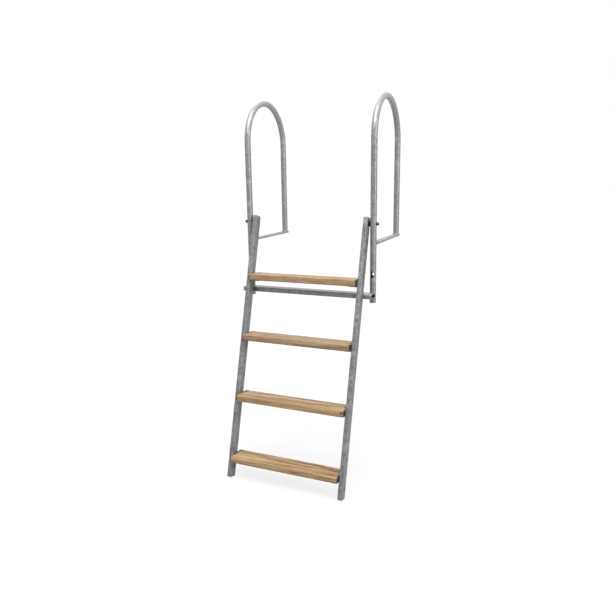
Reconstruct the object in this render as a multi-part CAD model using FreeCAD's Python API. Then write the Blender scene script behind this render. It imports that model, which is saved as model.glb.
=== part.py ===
import FreeCAD, Part
import math
import os

# Folding dock ladder. Millimetres, +Z up, +Y towards the dock, +X to the right as seen from the water.
# The origin is on the underside of the left deck foot, on the axis of the handrail's short leg.

# Handrails: round tube bent to an upside-down U, one on each side
TUBE_OUTSIDE = 26.9
TUBE_WALL = 2.3
RAIL_SPACING = 584.0
RAIL_DEPTH = 364.0
RAIL_HEIGHT = 627.0
LEG_BELOW_DECK = 250.0

# Deck feet: flat bar from the long leg to just past the short leg
FOOT_WIDTH = 30.0
FOOT_THICKNESS = 8.0
FOOT_OVERRUN = 15.0
FOOT_CORNER = 2.0

# Bolts into the face of the dock: a hole in each long leg's rear wall, reached through a slot in front
DOCK_HOLE = 13.0
DOCK_HOLE_DROP = 128.0
DOCK_SLOT_WIDTH = 14.0
DOCK_SLOT_HEIGHT = 30.0

# Crossbar: rectangular tube across the front of the long legs, which the ladder leans on
BAR_DEPTH = 50.0
BAR_HEIGHT = 20.0
BAR_WALL = 2.0
BAR_CORNER = 3.0
BAR_DROP = 214.0

# Stringers: rectangular tube, open at the top and closed at the foot
STRINGER_WIDTH = 20.0
STRINGER_DEPTH = 40.0
STRINGER_WALL = 2.0
STRINGER_CORNER = 3.0
STRINGER_ABOVE_HINGE = 25.0
STRINGER_BELOW_HINGE = 1151.0
STRINGER_FOOT_CORNER = 8.0
DRAIN_HOLE = 10.0
DRAIN_HOLE_UP = 45.0
STOP_GAP = 0.3

# Treads: boards with eased edges, tipped back a little while the ladder leans on the crossbar
TREAD_DEPTH = 95.0
TREAD_THICKNESS = 28.0
TREAD_EDGE = 4.0
TREAD_TIP = 4.4
TREAD_COUNT = 4
FIRST_TREAD_DROP = 235.0
LAST_TREAD_DROP = 1045.0

# Lugs under the tread ends, and the screws that come up through them
LUG_LENGTH = 40.0
LUG_WIDTH = 30.0
LUG_THICKNESS = 4.0
SCREW_SHANK = 5.0
SCREW_HEAD = 10.0
SCREW_HEAD_HEIGHT = 3.0
SCREW_IN_WOOD = 14.0
SCREW_INSETS = (12.0, 28.0)
SCREW_CLEARANCE = 0.1

# Hinge bolts, one at the top of each stringer: a low domed head inside and a lock nut outside
HINGE_HEIGHT = 86.5
BOLT_SIZE = 8.0
BOLT_LENGTH = 65.0
DOME_WIDTH = 20.0
DOME_HEIGHT = 4.6
DOME_RIM = 0.8
NUT_FLATS = 13.0
NUT_HEIGHT = 5.0
NUT_BEVEL = 30.0
COLLAR_WIDTH = 11.5
COLLAR_HEIGHT = 3.0
COLLAR_EDGE = 1.2
BOLT_TIP_CHAMFER = 0.8
WASHER_OUTSIDE = 16.0
WASHER_THICKNESS = 1.6
SPACER_OUTSIDE = 22.0
SPACER_LENGTH = 7.25
BOLT_CLEARANCE = 0.25
PIN_CLEARANCE = 0.08
SIDE_CLEARANCE = 0.3

# Weld beads: the width of a bead on each plate, and where it starts beside a tube lying on a flat
WELD_LEG = 4.0
WELD_START = 3.0

# Edges closer than this to a plane or a direction count as lying on it
TOLERANCE = 0.01

X = FreeCAD.Vector(1, 0, 0)
Y = FreeCAD.Vector(0, 1, 0)
Z = FreeCAD.Vector(0, 0, 1)

TUBE_RADIUS = TUBE_OUTSIDE / 2
LONG_LEG_Y = -RAIL_DEPTH
BAR_LENGTH = RAIL_SPACING + TUBE_OUTSIDE
BAR_BACK_Y = LONG_LEG_Y - TUBE_RADIUS
BAR_FRONT_Y = BAR_BACK_Y - BAR_DEPTH
STRINGER_OUTER_X = TUBE_RADIUS + SPACER_LENGTH + SIDE_CLEARANCE
STRINGER_INNER_X = STRINGER_OUTER_X + STRINGER_WIDTH
STRINGER_X = STRINGER_OUTER_X + STRINGER_WIDTH / 2
TREAD_SPACING = (LAST_TREAD_DROP - FIRST_TREAD_DROP) / (TREAD_COUNT - 1)


def vec(x, y, z):
    return FreeCAD.Vector(x, y, z)


def runs_along(edge, axis):
    """True for an edge parallel to the axis."""
    return edge.tangentAt(edge.FirstParameter).cross(axis).Length < TOLERANCE


def mirrored(shape):
    """The same piece on the right-hand side of the ladder."""
    return shape.mirror(vec(RAIL_SPACING / 2, 0, 0), X)


def lean_angle():
    """Lean of the ladder, in radians, when its stringers rest on the crossbar's rounded front edge."""
    back = LONG_LEG_Y - (BAR_FRONT_Y + BAR_CORNER)
    drop = HINGE_HEIGHT + BAR_DROP - BAR_HEIGHT / 2 + BAR_CORNER
    reach = math.hypot(back, drop)
    offset = STRINGER_DEPTH / 2 + BAR_CORNER + STOP_GAP
    return math.atan2(back, drop) + math.asin(offset / reach)


LEAN = lean_angle()


def stringer_line(drop):
    """Point on the centre line of the left stringer, so far below the hinge along the stringer."""
    return vec(STRINGER_X, LONG_LEG_Y - drop * math.sin(LEAN), HINGE_HEIGHT - drop * math.cos(LEAN))


def hollow_bar(length, depth, height, corner, wall):
    """Rectangular tube along X with rounded corners and open ends, centred on the origin."""
    outside = rounded_box(length, depth, height, corner)
    inside = rounded_box(length, depth - 2 * wall, height - 2 * wall, corner - wall)
    return outside.cut(inside)


def rounded_box(length, depth, height, corner):
    """Box along X, centred on the origin, with its four long edges rounded."""
    box = Part.makeBox(length, depth, height, vec(-length / 2, -depth / 2, -height / 2))
    return box.makeFillet(corner, [e for e in box.Edges if runs_along(e, X)])


def rail_path():
    """Centre line of a handrail: up the long leg, over a half circle and down the short leg."""
    bend = RAIL_DEPTH / 2
    spring = RAIL_HEIGHT - TUBE_RADIUS - bend
    foot = vec(0, LONG_LEG_Y, -LEG_BELOW_DECK)
    front = vec(0, LONG_LEG_Y, spring)
    crown = vec(0, LONG_LEG_Y + bend, spring + bend)
    back = vec(0, 0, spring)
    heel = vec(0, 0, FOOT_THICKNESS)
    edges = [
        Part.makeLine(foot, front),
        Part.Arc(front, crown, back).toShape(),
        Part.makeLine(back, heel),
    ]
    return Part.Wire(edges)


def rail_core(radius):
    """Round bar of the given radius along the handrail's centre line."""
    circle = Part.makeCircle(radius, vec(0, LONG_LEG_Y, -LEG_BELOW_DECK), Z)
    return rail_path().makePipeShell([Part.Wire([circle])], True, False)


def handrail():
    tube = rail_core(TUBE_RADIUS).cut(rail_core(TUBE_RADIUS - TUBE_WALL))
    hinge_hole = Part.makeCylinder(
        BOLT_SIZE / 2 + BOLT_CLEARANCE, TUBE_OUTSIDE * 2, vec(-TUBE_OUTSIDE, LONG_LEG_Y, HINGE_HEIGHT), X
    )
    dock_hole = Part.makeCylinder(DOCK_HOLE / 2, TUBE_OUTSIDE, vec(0, LONG_LEG_Y, -DOCK_HOLE_DROP), Y)
    return tube.cut(hinge_hole).cut(dock_hole).cut(dock_slot())


def dock_slot():
    """Upright round-ended bar through the front wall of the long leg, ahead of the hole in the rear wall."""
    half = DOCK_SLOT_WIDTH / 2
    rise = DOCK_SLOT_HEIGHT / 2 - half
    upper = vec(0, LONG_LEG_Y - TUBE_OUTSIDE, rise - DOCK_HOLE_DROP)
    lower = vec(0, LONG_LEG_Y - TUBE_OUTSIDE, -rise - DOCK_HOLE_DROP)
    edges = [
        Part.Arc(upper - X * half, upper + Z * half, upper + X * half).toShape(),
        Part.makeLine(upper + X * half, lower + X * half),
        Part.Arc(lower + X * half, lower - Z * half, lower - X * half).toShape(),
        Part.makeLine(lower - X * half, upper - X * half),
    ]
    return Part.Face(Part.Wire(edges)).extrude(Y * TUBE_OUTSIDE)


def long_leg_bar():
    """Solid cylinder of the long leg's outside, for coping what is welded against it."""
    length = LEG_BELOW_DECK + HINGE_HEIGHT
    return Part.makeCylinder(TUBE_RADIUS, length, vec(0, LONG_LEG_Y, -LEG_BELOW_DECK), Z)


def deck_foot():
    """Flat bar, coped round the long leg at one end and under the short leg at the other."""
    length = RAIL_DEPTH + FOOT_OVERRUN
    bar = Part.makeBox(FOOT_WIDTH, length, FOOT_THICKNESS, vec(-FOOT_WIDTH / 2, LONG_LEG_Y, 0))
    upright = [e for e in bar.Edges if runs_along(e, Z)]
    end_corners = [e for e in upright if e.CenterOfMass.y > 0]
    return bar.makeFillet(FOOT_CORNER, end_corners).cut(long_leg_bar())


def crossbar():
    """Rectangular tube lying flat against the fronts of both long legs."""
    bar = hollow_bar(BAR_LENGTH, BAR_DEPTH, BAR_HEIGHT, BAR_CORNER, BAR_WALL)
    bar.translate(vec(RAIL_SPACING / 2, BAR_BACK_Y - BAR_DEPTH / 2, -BAR_DROP))
    return bar


def stringer_body(inset):
    """Outside of an upright stringer, or its hollow when inset by the wall. The hinge is at the origin."""
    width = STRINGER_WIDTH - 2 * inset
    depth = STRINGER_DEPTH - 2 * inset
    bottom = inset - STRINGER_BELOW_HINGE
    corner = vec(-width / 2, -depth / 2, bottom)
    box = Part.makeBox(width, depth, STRINGER_ABOVE_HINGE - bottom, corner)
    foot_corners = [e for e in box.Edges if runs_along(e, X) and e.CenterOfMass.z < 0]
    body = box.makeFillet(STRINGER_FOOT_CORNER - inset, foot_corners)
    below_top = [e for e in body.Edges if e.CenterOfMass.z < STRINGER_ABOVE_HINGE - TOLERANCE]
    side_edges = [e for e in below_top if not runs_along(e, X)]
    return body.makeFillet(STRINGER_CORNER - inset, side_edges)


def stringer():
    """Left stringer: hollow, open at the top, closed at the foot, leaning on the crossbar."""
    tube = stringer_body(0).cut(stringer_body(STRINGER_WALL))
    hinge_hole = Part.makeCylinder(
        BOLT_SIZE / 2 + PIN_CLEARANCE, STRINGER_WIDTH * 2, vec(-STRINGER_WIDTH, 0, 0), X
    )
    drain = Part.makeCylinder(
        DRAIN_HOLE / 2, STRINGER_WIDTH * 2, vec(-STRINGER_WIDTH, 0, DRAIN_HOLE_UP - STRINGER_BELOW_HINGE), X
    )
    tube = tube.cut(hinge_hole).cut(drain)
    tube.rotate(vec(0, 0, 0), X, -math.degrees(LEAN))
    tube.translate(vec(STRINGER_X, LONG_LEG_Y, HINGE_HEIGHT))
    return tube


def tread_top(number):
    """Middle of the left end of a tread's top face, counted from the top tread."""
    point = stringer_line(FIRST_TREAD_DROP + number * TREAD_SPACING)
    return vec(STRINGER_INNER_X, point.y, point.z)


def tipped(shape, number):
    """A piece made for a level tread, turned so that the tread's front edge stands a little high."""
    shape.rotate(tread_top(number), X, -TREAD_TIP)
    return shape


def lug_middle(number):
    """Middle of a left lug's top face where it meets the stringer, before the tread is tipped."""
    underside = tread_top(number) - Z * TREAD_THICKNESS
    lean_back = (TREAD_THICKNESS + LUG_THICKNESS / 2) * math.tan(LEAN - math.radians(TREAD_TIP))
    return underside - Y * lean_back


def screw_points(number):
    """Where the screws of a left lug pass the underside of the tread, before it is tipped."""
    middle = lug_middle(number)
    return [middle + X * inset for inset in SCREW_INSETS]


def tread(number):
    length = RAIL_SPACING - 2 * STRINGER_INNER_X
    board = rounded_box(length, TREAD_DEPTH, TREAD_THICKNESS, TREAD_EDGE)
    top = tread_top(number)
    board.translate(vec(RAIL_SPACING / 2, top.y, top.z - TREAD_THICKNESS / 2))
    radius = SCREW_SHANK / 2 + SCREW_CLEARANCE
    for point in screw_points(number):
        pilot = Part.makeCylinder(radius, SCREW_IN_WOOD + SCREW_CLEARANCE, point, Z)
        board = board.cut(pilot).cut(mirrored(pilot))
    return tipped(board, number)


def lug(number):
    middle = lug_middle(number)
    corner = middle - Y * (LUG_WIDTH / 2) - Z * LUG_THICKNESS
    plate = Part.makeBox(LUG_LENGTH, LUG_WIDTH, LUG_THICKNESS, corner)
    radius = SCREW_SHANK / 2 + SCREW_CLEARANCE
    for point in screw_points(number):
        plate = plate.cut(Part.makeCylinder(radius, LUG_THICKNESS, point - Z * LUG_THICKNESS, Z))
    return tipped(plate, number)


def tread_screw(point):
    """Round-headed screw, up through a lug into the underside of a tread."""
    seat = point - Z * LUG_THICKNESS
    bottom = seat - Z * SCREW_HEAD_HEIGHT
    shank = Part.makeCylinder(SCREW_SHANK / 2, LUG_THICKNESS + SCREW_IN_WOOD, seat, Z)
    head = Part.makeCylinder(SCREW_HEAD / 2, SCREW_HEAD_HEIGHT, bottom, Z)
    rim = [e for e in head.Edges if e.Closed and e.CenterOfMass.z < bottom.z + TOLERANCE]
    head = head.makeFillet(SCREW_HEAD_HEIGHT / 2, rim)
    return shank.fuse(head).removeSplitter()


def hexagon():
    """Hexagon of the lock nut, along X from the origin, its corners bevelled at both ends."""
    corner = NUT_FLATS / math.sqrt(3)
    angles = [math.radians(60 * i) for i in range(7)]
    points = [vec(0, corner * math.cos(a), corner * math.sin(a)) for a in angles]
    prism = Part.Face(Part.makePolygon(points)).extrude(X * NUT_HEIGHT)
    small = NUT_FLATS / 2
    large = small + NUT_HEIGHT / math.tan(math.radians(NUT_BEVEL))
    near_cone = Part.makeCone(small, large, NUT_HEIGHT, vec(0, 0, 0), X)
    far_cone = Part.makeCone(large, small, NUT_HEIGHT, vec(0, 0, 0), X)
    return prism.common(near_cone).common(far_cone)


def ring(outside, inside, start, length):
    """Round washer or sleeve along X on the hinge's axis."""
    at = vec(start, LONG_LEG_Y, HINGE_HEIGHT)
    return Part.makeCylinder(outside / 2, length, at, X).cut(Part.makeCylinder(inside / 2, length, at, X))


def head_seat():
    """Where the left bolt's head starts: past the stringer and its clearance."""
    return STRINGER_INNER_X + SIDE_CLEARANCE


def nut_seat():
    """Where the left nut starts: outside the long leg and its washer."""
    return -TUBE_RADIUS - WASHER_THICKNESS


def dome_head():
    """Low domed head with a short straight rim: a round blank shaped by a large ball."""
    half = DOME_WIDTH / 2
    rise = DOME_HEIGHT - DOME_RIM
    ball_radius = (half ** 2 + rise ** 2) / (2 * rise)
    seat = vec(head_seat(), LONG_LEG_Y, HINGE_HEIGHT)
    ball = Part.makeSphere(ball_radius, seat + X * (DOME_HEIGHT - ball_radius))
    return Part.makeCylinder(half, DOME_HEIGHT, seat, X).common(ball)


def hinge_bolt():
    """Dome-headed bolt, pushed outwards through the stringer, the spacer and the long leg."""
    shank = Part.makeCylinder(BOLT_SIZE / 2, BOLT_LENGTH, vec(head_seat(), LONG_LEG_Y, HINGE_HEIGHT), -X)
    tip = [e for e in shank.Edges if e.Closed and e.CenterOfMass.x < head_seat() - BOLT_LENGTH + TOLERANCE]
    shank = shank.makeChamfer(BOLT_TIP_CHAMFER, tip)
    return dome_head().fuse(shank).removeSplitter()


def hinge_nut():
    """Lock nut outside the long leg: a hexagon with a round collar on its outer end."""
    collar = Part.makeCylinder(COLLAR_WIDTH / 2, COLLAR_HEIGHT, vec(0, 0, 0), -X)
    outer_rim = [e for e in collar.Edges if e.Closed and e.CenterOfMass.x < -TOLERANCE]
    collar = collar.makeFillet(COLLAR_EDGE, outer_rim)
    bore_start = vec(-COLLAR_HEIGHT, 0, 0)
    bore = Part.makeCylinder(BOLT_SIZE / 2 + PIN_CLEARANCE, COLLAR_HEIGHT + NUT_HEIGHT, bore_start, X)
    nut = hexagon().fuse(collar).cut(bore)
    nut.translate(vec(nut_seat() - NUT_HEIGHT, LONG_LEG_Y, HINGE_HEIGHT))
    return nut


def hinge_washer():
    return ring(WASHER_OUTSIDE, BOLT_SIZE + 2 * BOLT_CLEARANCE, nut_seat(), WASHER_THICKNESS)


def hinge_spacer():
    return ring(SPACER_OUTSIDE, BOLT_SIZE + 2 * BOLT_CLEARANCE, TUBE_RADIUS, SPACER_LENGTH)


def collar_weld(leg_y, low_y, high_y):
    """Bead round a leg on the flat bar, kept within the bar's width and between two places along it."""
    centre = vec(0, leg_y, FOOT_THICKNESS)
    bead = Part.makeCone(TUBE_RADIUS + WELD_LEG, TUBE_RADIUS, WELD_LEG, centre, Z)
    bead = bead.cut(Part.makeCylinder(TUBE_RADIUS, WELD_LEG, centre, Z))
    strip = Part.makeBox(FOOT_WIDTH, high_y - low_y, WELD_LEG, vec(-FOOT_WIDTH / 2, low_y, FOOT_THICKNESS))
    return bead.common(strip)


def foot_weld():
    """Bead round the short leg, as far as the end of the flat bar."""
    return collar_weld(0, -TUBE_RADIUS - WELD_LEG, FOOT_OVERRUN)


def leg_weld():
    """Bead across the top of the flat bar, against the back of the long leg."""
    return collar_weld(LONG_LEG_Y, LONG_LEG_Y, LONG_LEG_Y + TUBE_RADIUS + WELD_LEG)


def bar_weld(side):
    """Upright bead between the back of the crossbar and one side of the long leg."""
    toe = WELD_START + 2 * WELD_LEG
    height = BAR_HEIGHT - 2 * BAR_CORNER
    bottom = -BAR_DROP - height / 2
    points = [
        vec(side * WELD_START, BAR_BACK_Y, bottom),
        vec(side * toe, BAR_BACK_Y, bottom),
        vec(side * WELD_START, BAR_BACK_Y + WELD_LEG, bottom),
        vec(side * WELD_START, BAR_BACK_Y, bottom),
    ]
    bead = Part.Face(Part.makePolygon(points)).extrude(Z * height)
    return bead.cut(long_leg_bar())


def save(name, solids):
    shape = Part.makeCompound(solids) if len(solids) > 1 else solids[0]
    shape.exportStep("parts/" + name + ".step")


def save_pair(name, solids):
    """Write the left-hand piece and its mirror image."""
    save("left_" + name, solids)
    save("right_" + name, [mirrored(s) for s in solids])


def build():
    os.makedirs("parts", exist_ok=True)
    save_pair("handrail", [handrail()])
    save_pair("deck_foot", [deck_foot()])
    save_pair("welds", [foot_weld(), leg_weld(), bar_weld(-1), bar_weld(1)])
    save("crossbar", [crossbar()])
    save_pair("stringer", [stringer()])
    save_pair("hinge_bolt", [hinge_bolt()])
    save_pair("hinge_nut", [hinge_nut()])
    save_pair("hinge_washer", [hinge_washer()])
    save_pair("hinge_spacer", [hinge_spacer()])
    for number in range(TREAD_COUNT):
        save("tread_" + str(number + 1), [tread(number)])
    numbers = range(TREAD_COUNT)
    save_pair("tread_lugs", [lug(number) for number in numbers])
    screws = [tipped(tread_screw(point), number) for number in numbers for point in screw_points(number)]
    save_pair("tread_screws", screws)


build()
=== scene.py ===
import math

import bpy
from mathutils import Matrix, Vector


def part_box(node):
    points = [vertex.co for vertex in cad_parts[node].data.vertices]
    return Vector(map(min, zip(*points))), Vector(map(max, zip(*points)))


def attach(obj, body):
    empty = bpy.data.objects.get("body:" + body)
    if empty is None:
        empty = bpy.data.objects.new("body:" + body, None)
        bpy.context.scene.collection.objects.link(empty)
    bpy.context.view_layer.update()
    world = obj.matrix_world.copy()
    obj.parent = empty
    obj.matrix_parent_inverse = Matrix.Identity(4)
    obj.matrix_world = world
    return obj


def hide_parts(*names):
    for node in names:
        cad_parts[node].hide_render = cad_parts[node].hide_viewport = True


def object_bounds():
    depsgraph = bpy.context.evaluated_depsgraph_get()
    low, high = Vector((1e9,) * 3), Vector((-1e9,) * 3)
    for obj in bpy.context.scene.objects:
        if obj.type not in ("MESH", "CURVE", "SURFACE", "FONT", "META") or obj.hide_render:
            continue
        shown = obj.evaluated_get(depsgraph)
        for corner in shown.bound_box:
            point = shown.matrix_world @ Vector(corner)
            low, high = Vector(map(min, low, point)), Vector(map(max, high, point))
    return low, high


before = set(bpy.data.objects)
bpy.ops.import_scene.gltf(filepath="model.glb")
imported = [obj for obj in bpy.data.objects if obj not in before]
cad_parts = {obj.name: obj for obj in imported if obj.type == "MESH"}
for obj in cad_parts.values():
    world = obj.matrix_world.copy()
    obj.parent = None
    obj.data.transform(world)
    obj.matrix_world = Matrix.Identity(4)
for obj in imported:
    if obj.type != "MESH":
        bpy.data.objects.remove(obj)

# Looks of the folding dock ladder: galvanised steel frame, softwood treads, dark hinge nuts and washers.
# Metres, in the CAD's frame. Lengths that a maker would give in millimetres are written times MM.

MM = 0.001
CAD_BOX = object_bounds()

# Sizes the pieces made here share with the CAD
RAIL_SPACING = 584 * MM
LONG_LEG_Y = -364 * MM
TUBE_RADIUS = 13.45 * MM
LEG_BOTTOM = -250 * MM
FOOT_TOP = 8 * MM
BAR_BACK_Y = -377.45 * MM
BAR_FRONT_Y = -427.45 * MM
BAR_MIDDLE_Z = -214 * MM
STRINGER_INNER_X = 41 * MM
LUG_THICKNESS = 4 * MM
LUG_SET_FORWARD = 6.2 * MM
HINGE_Z = 86.5 * MM
BOLT_HEAD_SEAT_X = 41.3 * MM
BOLT_LENGTH = 65 * MM
BOLT_DIAMETER = 8 * MM
DOME_WIDTH = 20 * MM
DOME_HEIGHT = 4.6 * MM
DOME_RIM = 0.8 * MM
TREAD_DEPTH = 95 * MM
TREAD_THICKNESS = 28 * MM
TREAD_EDGE = 4 * MM
TREAD_TIP = math.radians(4.4)

# Camera, as fitted to the photograph's edges: lens in millimetres for a 36 mm wide frame, angles in radians
FOCAL_LENGTH = 34.509
CAMERA_TARGET = (0.27507, -0.364, -0.29338)
CAMERA_DISTANCE = 2.66244
CAMERA_YAW = 0.41116
CAMERA_PITCH = 0.222878
CAMERA_ROLL = -0.0155274

# Where the main lamp hangs, what the lamps look at, and how bright the white sky is for lighting the ladder
MAIN_LAMP_AT = (0.4, -1.9, 3.1)
LADDER_MIDDLE = (0.3, -0.4, -0.3)
HANDRAIL_MIDDLE = (0.3, -0.2, 0.3)
SKY_LIGHT = 0.10


# Camera and light

def set_camera():
    """Camera where the photograph was taken from: right of the ladder and a little above it."""
    data = bpy.data.cameras.new("camera")
    data.sensor_width = 36
    data.lens = FOCAL_LENGTH
    camera = bpy.data.objects.new("camera", data)
    bpy.context.collection.objects.link(camera)
    level_ahead = Vector((-math.sin(CAMERA_YAW), math.cos(CAMERA_YAW), 0))
    ahead = level_ahead * math.cos(CAMERA_PITCH) - Vector((0, 0, math.sin(CAMERA_PITCH)))
    right = Vector((math.cos(CAMERA_YAW), math.sin(CAMERA_YAW), 0))
    up = right.cross(ahead)
    turned_right = right * math.cos(CAMERA_ROLL) + up * math.sin(CAMERA_ROLL)
    turned_up = up * math.cos(CAMERA_ROLL) - right * math.sin(CAMERA_ROLL)
    turn = Matrix((turned_right, turned_up, -ahead)).transposed().to_4x4()
    camera.matrix_world = Matrix.Translation(Vector(CAMERA_TARGET) - ahead * CAMERA_DISTANCE) @ turn
    bpy.context.scene.camera = camera


def softbox(name, at, towards, width, height, brightness):
    """Rectangular studio lamp whose face is so many times as bright as white."""
    data = bpy.data.lights.new(name, "AREA")
    data.shape = "RECTANGLE"
    data.size = width
    data.size_y = height
    data.energy = brightness * math.pi * width * height
    lamp = bpy.data.objects.new(name, data)
    bpy.context.collection.objects.link(lamp)
    lamp.location = at
    lamp.rotation_euler = (Vector(towards) - Vector(at)).to_track_quat("-Z", "Y").to_euler()


def seen_rays(tree):
    """1 for rays from the camera, off a gloss or through glass, and 0 for the rays that light the object."""
    path = add(tree, "ShaderNodeLightPath")
    camera_or_gloss = add(tree, "ShaderNodeMath",
                          {0: path.outputs["Is Camera Ray"], 1: path.outputs["Is Glossy Ray"]},
                          operation="MAXIMUM").outputs[0]
    return add(tree, "ShaderNodeMath", {0: camera_or_gloss, 1: path.outputs["Is Transmission Ray"]},
               operation="MAXIMUM").outputs[0]


def white_studio():
    """White all round for the eye and for reflections, softer for the light it gives."""
    world = bpy.data.worlds.new("studio")
    world.use_nodes = True
    tree = world.node_tree
    tree.nodes.clear()
    strength = add(tree, "ShaderNodeMapRange",
                   {"Value": seen_rays(tree), "To Min": SKY_LIGHT, "To Max": 1.0}).outputs["Result"]
    background = add(tree, "ShaderNodeBackground",
                     {"Color": linear("FFFFFF"), "Strength": strength}).outputs[0]
    add(tree, "ShaderNodeOutputWorld", {"Surface": background})
    bpy.context.scene.world = world


def pale_floor():
    """Matt white floor under the feet of the ladder. It keeps the ladder's shadow.

    The lamp overhead lights it less further out, so it glows the more there for the eye, and stays white
    all over.
    """
    mesh = bpy.data.meshes.new("floor")
    reach = 40
    height = CAD_BOX[0][2] - 1 * MM
    corners = [(x * reach, y * reach, height) for x, y in ((-1, -1), (1, -1), (1, 1), (-1, 1))]
    mesh.from_pydata(corners, [], [(0, 1, 2, 3)])
    floor = bpy.data.objects.new("floor", mesh)
    bpy.context.collection.objects.link(floor)
    material, tree = new_material("floor_white")
    matt = add(tree, "ShaderNodeBsdfDiffuse", {"Color": linear("808080")}).outputs[0]
    coordinates = add(tree, "ShaderNodeTexCoord").outputs["Object"]
    # the lamp's share falls with the fourth power of its slant's cosine, and the glow makes up for that
    under_lamp = (MAIN_LAMP_AT[0], MAIN_LAMP_AT[1], height)
    away = add(tree, "ShaderNodeVectorMath", {0: coordinates, 1: under_lamp},
               operation="DISTANCE").outputs["Value"]
    lamp_heights = add(tree, "ShaderNodeMath", {0: away, 1: MAIN_LAMP_AT[2] - height},
                       operation="DIVIDE").outputs[0]
    spread = add(tree, "ShaderNodeMath", {0: lamp_heights, 1: lamp_heights, 2: 1.0},
                 operation="MULTIPLY_ADD").outputs[0]
    lamp_share = add(tree, "ShaderNodeMath", {0: spread, 1: -2.0}, operation="POWER").outputs[0]
    glow = add(tree, "ShaderNodeMapRange",
               {"Value": lamp_share, "To Min": 0.985, "To Max": 0.79}).outputs["Result"]
    strength = add(tree, "ShaderNodeMath", {0: glow, 1: seen_rays(tree)}, operation="MULTIPLY").outputs[0]
    emission = add(tree, "ShaderNodeEmission", {"Color": linear("FFFFFF"), "Strength": strength}).outputs[0]
    both = add(tree, "ShaderNodeAddShader", {0: matt, 1: emission}).outputs[0]
    add(tree, "ShaderNodeOutputMaterial", {"Surface": both})
    mesh.materials.append(material)


def light_the_studio():
    """A wide softbox above the camera, weaker ones on the right and behind, and a faint white sky."""
    bpy.context.scene.view_settings.view_transform = "Standard"
    white_studio()
    pale_floor()
    softbox("main_softbox", MAIN_LAMP_AT, LADDER_MIDDLE, 2.4, 2.4, 8.8)
    softbox("right_softbox", (7.2, -2.0, 1.6), LADDER_MIDDLE, 3.5, 4.9, 4.5)
    softbox("back_softbox", (-1.0, 1.7, 2.4), HANDRAIL_MIDDLE, 1.6, 1.6, 2.0)


# Nodes and colours

def linear(hex_colour):
    """Linear RGBA of an sRGB hex colour."""
    channels = [int(hex_colour[i:i + 2], 16) / 255 for i in (0, 2, 4)]
    return [c / 12.92 if c <= 0.04045 else ((c + 0.055) / 1.055) ** 2.4 for c in channels] + [1.0]


def add(tree, kind, inputs=None, stops=None, **settings):
    """Add one node: settings by name, each input by name or number as a value or the socket that feeds it.

    A colour ramp also gets its stops, as (position, hex colour).
    """
    node = tree.nodes.new(kind)
    for key, value in settings.items():
        setattr(node, key, value)
    for key, value in (inputs or {}).items():
        if isinstance(value, bpy.types.NodeSocket):
            tree.links.new(value, node.inputs[key])
        else:
            node.inputs[key].default_value = value
    if stops:
        elements = node.color_ramp.elements
        elements[0].position, elements[1].position = stops[0][0], stops[-1][0]
        elements[0].color, elements[1].color = linear(stops[0][1]), linear(stops[-1][1])
        for position, colour in stops[1:-1]:
            elements.new(position).color = linear(colour)
    return node


def weigh(tree, parts):
    """Sum of (socket, weight) pairs."""
    total = None
    for socket, weight in parts:
        if total is None:
            total = add(tree, "ShaderNodeMath", {0: socket, 1: weight}, operation="MULTIPLY").outputs[0]
        else:
            total = add(tree, "ShaderNodeMath", {0: socket, 1: weight, 2: total},
                        operation="MULTIPLY_ADD").outputs[0]
    return total


def new_material(name):
    """Empty material and its node tree."""
    material = bpy.data.materials.new(name)
    material.use_nodes = True
    material.node_tree.nodes.clear()
    return material, material.node_tree


# Materials

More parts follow.
